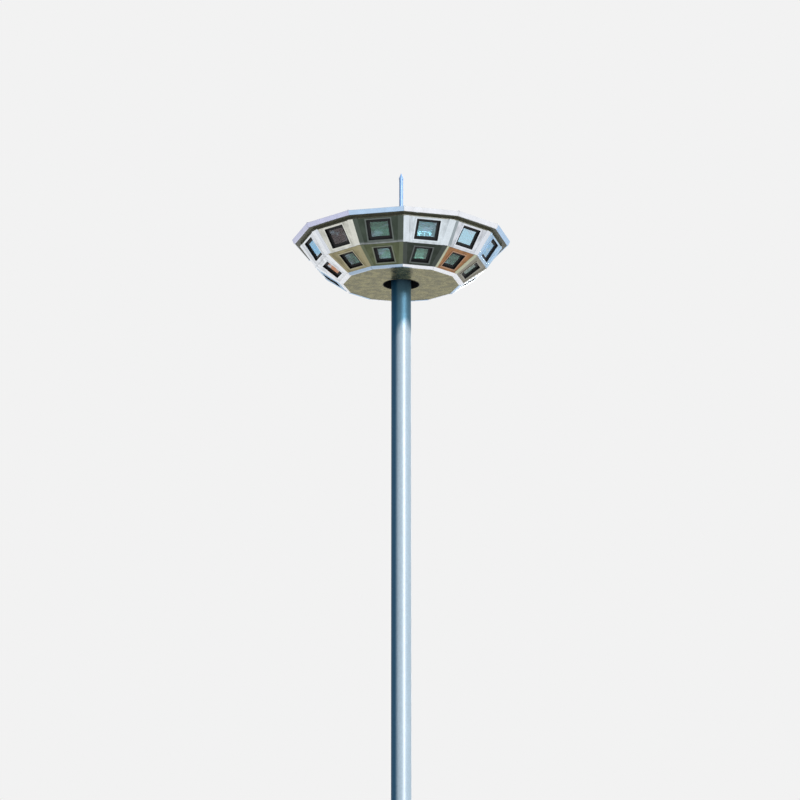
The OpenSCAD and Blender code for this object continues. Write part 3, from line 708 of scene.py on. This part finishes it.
roof_steel = weathered("weathered_stainless_roof", "#bdc3c8", "#a9afb3", "#86867e")
dress(roof_steel, "roof_sheets")
roof_low, roof_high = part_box("roof_sheets")
roof_in, roof_out = reach("roof_sheets")
sheet_t, roof_slope, cap_inset, eave_inset, eave_end = 0.003, math.radians(7), 0.008, 0.03, 0.066
half_turn = math.pi / SIDES


def side_rows(corner_r, inset, end_gap, height, facing):
    """A level row along each side of the dish, set in from the side and from its ends."""
    apothem = corner_r * math.cos(half_turn) - inset
    half_long = corner_r * math.sin(half_turn) - end_gap
    rows = []
    for k in range(SIDES):
        out = corner_way(k + 0.5)
        across = Vector((-out.y, out.x, 0))
        row = [out * apothem + across * share * half_long + raised(height) for share in (-1, 1)]
        rows.append((row, facing, False))
    return rows


roof_hips = []
for k in range(SIDES):
    out = corner_way(k)
    hip = [out * roof_in + raised(roof_high.z), out * (roof_out - cap_inset) + raised(roof_low.z + sheet_t)]
    roof_hips.append((hip, UP, False))
grow("roof_joint_caps", roof_hips, bead_tree, "lamp_head", "stainless_sheet", Bead=0.013, Ripple=0.0,
     Wave=1.0, Step=0.1, Finish=roof_steel)


def stainless(name, tone, dark):
    """Stainless rivets: bright turned metal with fine lines and faint staining."""
    made, tree, shader, place = surface(name, Metallic=0.9)
    base = clouded(tree, place, tone, dark, size_mm=30, detail=3.0)[1]
    # The tool's lines are drawn coarse enough to show
    lines = add(tree, "ShaderNodeTexNoise", {"Vector": place, "Scale": grain(0.8), "Detail": 1.0}).outputs[0]
    rough = add(tree, "ShaderNodeMapRange", {0: lines, 3: 0.2, 4: 0.38}).outputs[0]
    feed(tree, shader, {"Base Color": base, "Roughness": rough})
    return made


rivet_steel = stainless("stainless_rivet", "#d2d6d6", "#a4a69e")
eave_z = roof_low.z + sheet_t + eave_inset * math.tan(roof_slope)
eave_rows = side_rows(roof_out, eave_inset, eave_end, eave_z, UP)
grow("roof_rivets", eave_rows, rivet_tree, "lamp_head", "stainless_trim", Head=0.007, Pitch=0.13,
     Finish=rivet_steel)


# Bottom plate: one flat stainless sheet with a round hole for the mast, lying on the band's lip. It is
# polished like the panels; its dull olive-straw base colour is a painted reflection of the ground, and the
# mast is mirrored in its sheen.
def ground_reflection_polish(name, light, dark, grazing):
    """Polished sheet from below: mottled olive-straw painted reflection under a satin sheen that mirrors
    softly.
    """
    made, tree, shader, place = surface(name, Metallic=0.42, Specular_Tint=linear(grazing))
    spread = {"Vector": place, "Scale": grain(130), "Detail": 4.0, "Roughness": 0.7, "Distortion": 0.3}
    mottle = add(tree, "ShaderNodeTexNoise", spread).outputs[0]
    amount = add(tree, "ShaderNodeMapRange", {0: mottle, 1: 0.4, 2: 0.6}).outputs[0]
    blended = {0: amount, 6: linear(dark), 7: linear(light)}
    base = add(tree, "ShaderNodeMix", blended, data_type="RGBA").outputs[2]
    rough = add(tree, "ShaderNodeMapRange", {0: mottle, 3: 0.2, 4: 0.34}).outputs[0]
    bump = add(tree, "ShaderNodeBump", {"Height": mottle, "Strength": 0.03, "Distance": 0.004}).outputs[0]
    feed(tree, shader, {"Base Color": base, "Roughness": rough, "Normal": bump})
    return made


dress(ground_reflection_polish("polished_stainless_plate", "#aaa47a", "#6c6951", "#e2dfc2"), "bottom_plate")
band_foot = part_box("bottom_band")[0].z
hole_r, plate_r = reach("bottom_plate")
lip_inset, lip_end = 0.012, 0.034
lip_rows = side_rows(plate_r, lip_inset, lip_end, band_foot, DOWN)
grow("plate_screws", lip_rows, rivet_tree, "lamp_head", "stainless_trim", Head=0.006, Pitch=0.11,
     Finish=rivet_steel)


# Centre sleeve: a rolled steel tube through the dish with a docking flange on top, near-black inside and
# out as painted shade in the hole, and a rubber edge guard round the plate's hole.
# Near-black as painted shade inside the hole
dress(enamel("near_black_painted_shade", "#15161b", "#0c0d10", gloss=0.5, mark_mm=40), "centre_sleeve")


def rubber(name, tone, dust):
    """Moulded black rubber: dark, dry and fine-grained, dusty in places."""
    made, tree, shader, place = surface(name, Specular_IOR_Level=0.3)
    film, base = clouded(tree, place, tone, dust, size_mm=25, detail=4.0)
    rough = add(tree, "ShaderNodeMapRange", {0: film, 3: 0.55, 4: 0.75}).outputs[0]
    feed(tree, shader, {"Base Color": base, "Roughness": rough})
    return made


black_rubber = rubber("moulded_rubber", "#0c0c0e", "#1d1d1e")
plate_mid = sum(corner.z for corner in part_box("bottom_plate")) / 2
grow("hole_edge_guard", [(ring(hole_r, plate_mid, RING_POINTS), DOWN, True)], bead_tree, "lamp_head",
     "black_casting", Bead=0.005, Ripple=0.0, Wave=1.0, Step=0.02, Finish=black_rubber)


# Window trims: flat stainless frames screwed round each floodlight opening to hold the panel down. They
# have the panels' polish and painted reflection tones, lifted a little towards silver: silvery beside the
# dark facets and grey beside the pale ones.
trim_steel = polished("polished_stainless_trim", UPPER_ROW, LOWER_ROW, lighten=0.1, streaks=0.08)
dress(trim_steel, "window_trims")
trim_w, trim_t = 0.022, 0.006


def rectangle(spot, grow_by, depth):
    """The corners of a facet's window, grown by a margin, at a depth."""
    x, y = spot.window[0] / 2 + grow_by, spot.window[1] / 2 + grow_by
    corners = [(-x, spot.mid - y, depth), (x, spot.mid - y, depth), (x, spot.mid + y, depth),
               (-x, spot.mid + y, depth)]
    return on_facet(spot, corners)


trim_rows = [(rectangle(spot, trim_w / 2, trim_t), outward(spot), True) for spot in uppers + lowers]
grow("trim_screws", trim_rows, rivet_tree, "lamp_head", "stainless_trim", Head=0.005, Pitch=0.105,
     Finish=trim_steel)


# Lamp bezels: die-cast aluminium frames with a deep black powder coat, set behind the panel, that hold
# the front glass. The coat is matt with a fine grit; four screws hold each frame's face.
def powder_coat(name, tone, worn):
    """Black powder coat: near-black, matt, with a fine grit that catches a little light."""
    made, tree, shader, place = surface(name, Specular_IOR_Level=0.35)
    chalk, base = clouded(tree, place, tone, worn, size_mm=70, detail=3.0)
    rough = add(tree, "ShaderNodeMapRange", {0: chalk, 3: 0.5, 4: 0.65}).outputs[0]
    # The grit is drawn coarser than it is, so that it shows
    bump = bumpy(tree, place, size_mm=2, detail=2.0, strength=0.25, depth_mm=0.4)
    feed(tree, shader, {"Base Color": base, "Roughness": rough, "Normal": bump})
    return made


black_powder = powder_coat("black_powder_coat", "#08090b", "#131518")
dress(black_powder, "lamp_bezels")
bezel_w, recess = 0.048, 0.026
face_rows = []
for spot in uppers + lowers:
    a, b, c, d = rectangle(spot, -bezel_w / 2, -recess)
    face_rows += [([a, b], outward(spot), False), ([d, c], outward(spot), False)]
grow("bezel_screws", face_rows, rivet_tree, "lamp_head", "black_casting", Head=0.006, Pitch=1.0,
     Finish=black_powder)


# Glass gaskets: black rubber beads pressed into the joint between each bezel and its glass. They keep
# the rain out and frame the pane with a soft dark line.
gasket_r, gasket_sunk = 0.004, 0.003
loops = [(rectangle(spot, -bezel_w, -recess - gasket_sunk), outward(spot), True) for spot in uppers + lowers]
grow("glass_gaskets", loops, bead_tree, "lamp_head", "black_casting", Bead=gasket_r, Ripple=0.0, Wave=1.0,
     Step=0.05, Finish=black_rubber)


# Front glasses: toughened panes with a film of dust washed into streaks by rain, the pale streaks partly a
# painted reflection of the sky. Each side's tint is a painted reflection of the sky or the ground before
# it, so the panes differ from side to side.
PANE_REFLECTION_TINTS = {"green": "#94bfb1", "jade": "#aad2c6", "ice": "#b4dce4", "blue": "#98daff", "frost": "#c8efff",
         "brown": "#9c8b8e", "amber": "#d88f57"}
GLINTS = {"green": "#404040", "jade": "#484848", "ice": "#585858", "blue": "#c0c0c0", "frost": "#c8c8c8",
          "brown": "#404040", "amber": "#c0c0c0"}
UPPER_PANES = ["blue", "brown", "green", "ice", "frost", "blue",
               "green", "blue", "ice", "green", "brown", "ice"]
LOWER_PANES = ["amber", "green", "jade", "jade", "green", "jade",
               "green", "ice", "green", "brown", "green", "blue"]


def toughened(name, film):
    """Toughened glass: half clear, tinted with painted reflection by side, a coated glint, pale dusty
    streaks.
    """
    made, tree, shader, place = surface(name, Transmission_Weight=0.85, IOR=1.5)
    tint = by_side(tree, place, PANE_REFLECTION_TINTS, UPPER_PANES, LOWER_PANES)
    glint = by_side(tree, place, GLINTS, UPPER_PANES, LOWER_PANES)
    level = add(tree, "ShaderNodeMapping", {"Vector": place, "Scale": (0.45, 0.45, 1)}).outputs[0]
    wash = add(tree, "ShaderNodeTexNoise", {"Vector": level, "Scale": grain(110), "Detail": 2.0}).outputs[0]
    amount = add(tree, "ShaderNodeMapRange", {0: wash, 1: 0.48, 2: 0.62, 3: 0.0, 4: 0.85}).outputs[0]
    base = add(tree, "ShaderNodeMix", {0: amount, 6: tint, 7: linear(film)}, data_type="RGBA").outputs[2]
    rough = add(tree, "ShaderNodeMapRange", {0: wash, 3: 0.04, 4: 0.16}).outputs[0]
    feed(tree, shader, {"Base Color": base, "Roughness": rough, "Metallic": glint})
    return made


dress(toughened("toughened_glass", "#cfe7f6"), "lamp_glass")


# Lamp housings, reflectors and lamps: pressed boxes of bare aluminium behind the glass, each with a trough
# reflector of bright hammered aluminium and one tubular lamp in a ceramic holder.
def hammered(name, tone, dark, dimple_mm):
    """Bright aluminium sheet: silvery and glossy, broken up by small pressed dimples."""
    made, tree, shader, place = surface(name, Metallic=1.0)
    dimples = {"Vector": place, "Scale": grain(dimple_mm)}
    cells = add(tree, "ShaderNodeTexVoronoi", dimples, feature="SMOOTH_F1")
    cloud, base = clouded(tree, place, tone, dark, size_mm=60, detail=2.0)
    rough = add(tree, "ShaderNodeMapRange", {0: cloud, 3: 0.18, 4: 0.35}).outputs[0]
    pressed = {"Height": cells.outputs["Distance"], "Strength": 0.4, "Distance": 0.002}
    bump = add(tree, "ShaderNodeBump", pressed).outputs[0]
    feed(tree, shader, {"Base Color": base, "Roughness": rough, "Normal": bump})
    return made


def frosted(name, tone, warm):
    """Frosted lamp and glazed ceramic: off-white, smooth and softly lit through."""
    made, tree, shader, place = surface(name, Subsurface_Weight=0.2, Roughness=0.3)
    feed(tree, shader, {"Base Color": clouded(tree, place, tone, warm, size_mm=20, detail=2.0)[1]})
    return made


dress(hammered("bare_aluminium", "#8f9698", "#6f7678", dimple_mm=40), "lamp_housings")
dress(frosted("frosted_lamp", "#f1efe6", "#e2dccb"), "lamp_tubes")
reflector_bright = hammered("hammered_aluminium", "#f0f4f6", "#c9d2d6", dimple_mm=9)
trough_foot, trough_lip, trough_gap, trough_t = 0.138, 0.042, 0.006, 0.0015
FOLDS = 10
troughs = []
for spot in uppers + lowers:
    half_x, half_y = spot.window[0] / 2 - trough_gap, spot.window[1] / 2 - trough_gap
    points, faces = [], []
    for skin in (0.0, -trough_t):
        for i in range(FOLDS + 1):
            share = 2 * i / FOLDS - 1
            y = spot.mid + share * half_y
            depth = (trough_foot - trough_lip) * share ** 2 - trough_foot + skin
            points += on_facet(spot, [(-half_x, y, depth), (half_x, y, depth)])
    back = 2 * (FOLDS + 1)
    for a in range(0, back - 2, 2):
        faces += [(a, a + 1, a + 3, a + 2), (back + a, back + a + 2, back + a + 3, back + a + 1),
                  (a, a + 2, back + a + 2, back + a), (a + 1, back + a + 1, back + a + 3, a + 3)]
    faces += [(0, back, back + 1, 1), (back - 2, back - 1, 2 * back - 1, 2 * back - 2)]
    troughs.append((points, faces))
settle("reflectors", troughs, reflector_bright, "lamp_head")


# Floor, light and camera: a pale floor that keeps the tower's shadow, a high and a low lamp at the front
# right with a weak one behind, and a camera far off at eye height that looks up at the head.
BACKGROUND, WHITE, FILL = "#f2f2f2", "#ffffff", "#a9c6ff"


def sight(tree):
    """Whether a ray comes straight from the camera, and whether it comes by way of metal or glass."""
    rays = add(tree, "ShaderNodeLightPath").outputs
    both = {0: rays["Is Glossy Ray"], 1: rays["Is Transmission Ray"]}
    return rays["Is Camera Ray"], add(tree, "ShaderNodeMath", both, operation="MAXIMUM").outputs[0]


def pale_floor(name, tone, worn, bounce, glow_share):
    """A plain pale floor with a faint grain, near the background's brightness where it is seen."""
    made, tree, shader, place = surface(name, Roughness=0.9)
    skin = clouded(tree, place, tone, worn, size_mm=4000, detail=4.0)[1]
    looked, mirrored = sight(tree)
    base = add(tree, "ShaderNodeMix", {0: looked, 6: linear(bounce), 7: skin}, data_type="RGBA").outputs[2]
    feed(tree, shader, {"Base Color": base})
    lit = add(tree, "ShaderNodeMath", {0: looked, 1: glow_share}, operation="MULTIPLY").outputs[0]
    part = add(tree, "ShaderNodeMath", {0: lit, 1: mirrored}, operation="MAXIMUM").outputs[0]
    glow = add(tree, "ShaderNodeEmission", {"Color": linear(WHITE), "Strength": 1.0}).outputs[0]
    seen = add(tree, "ShaderNodeMixShader", {0: part, 1: shader.outputs[0], 2: glow}).outputs[0]
    feed(tree, tree.nodes["Material Output"], {"Surface": seen})
    return made


floor_r, floor_z, FLOOR_POINTS = 160.0, -0.002, 96
floor_mesh = bpy.data.meshes.new("floor")
floor_mesh.from_pydata(ring(floor_r, floor_z, FLOOR_POINTS), [], [tuple(range(FLOOR_POINTS))])
floor_mesh.materials.append(pale_floor("pale_floor", "#f4f4f4", "#ececec", "#727272", glow_share=0.66))
floor = bpy.data.objects.new("floor", floor_mesh)
scene.collection.objects.link(floor)

world = bpy.data.worlds.new("studio")
world.use_nodes = True
scene.world = world
sky = world.node_tree
looked, mirrored = sight(sky)
seen = add(sky, "ShaderNodeMath", {0: looked, 1: mirrored}, operation="MAXIMUM").outputs[0]
soft = add(sky, "ShaderNodeBackground", {"Color": linear(FILL), "Strength": 0.06}).outputs[0]
pale = add(sky, "ShaderNodeBackground", {"Color": linear(BACKGROUND), "Strength": 1.0}).outputs[0]
mixed = add(sky, "ShaderNodeMixShader", {0: seen, 1: soft, 2: pale}).outputs[0]
feed(sky, sky.nodes["World Output"], {"Surface": mixed})


def sun(name, strength, azimuth, elevation, spread):
    """A broad lamp far off, from an azimuth about +Z counted from +X and an elevation, in degrees."""
    lamp = bpy.data.lights.new(name, "SUN")
    lamp.energy = strength
    lamp.angle = math.radians(spread)
    held = bpy.data.objects.new(name, lamp)
    scene.collection.objects.link(held)
    held.rotation_euler = (math.radians(90 - elevation), 0, math.radians(azimuth + 90))


sun("key_light", strength=1.9, azimuth=-60, elevation=37, spread=14)
sun("low_light", strength=2.1, azimuth=-56, elevation=14, spread=10)
sun("back_light", strength=0.8, azimuth=80, elevation=25, spread=40)

distance, eye_height, turn = 54.5, 1.9, math.radians(1.4)
pitch, pan, lens = math.radians(90 + 15.39), math.radians(0.02), 156.1
camera = bpy.data.cameras.new("camera")
camera.lens = lens
camera.sensor_width = 36.0
camera.clip_end = 500.0
view = bpy.data.objects.new("camera", camera)
scene.collection.objects.link(view)
view.location = (-distance * math.sin(turn), -distance * math.cos(turn), eye_height)
view.rotation_euler = (pitch, 0, pan - turn)
scene.camera = view
scene.view_settings.view_transform = "Standard"
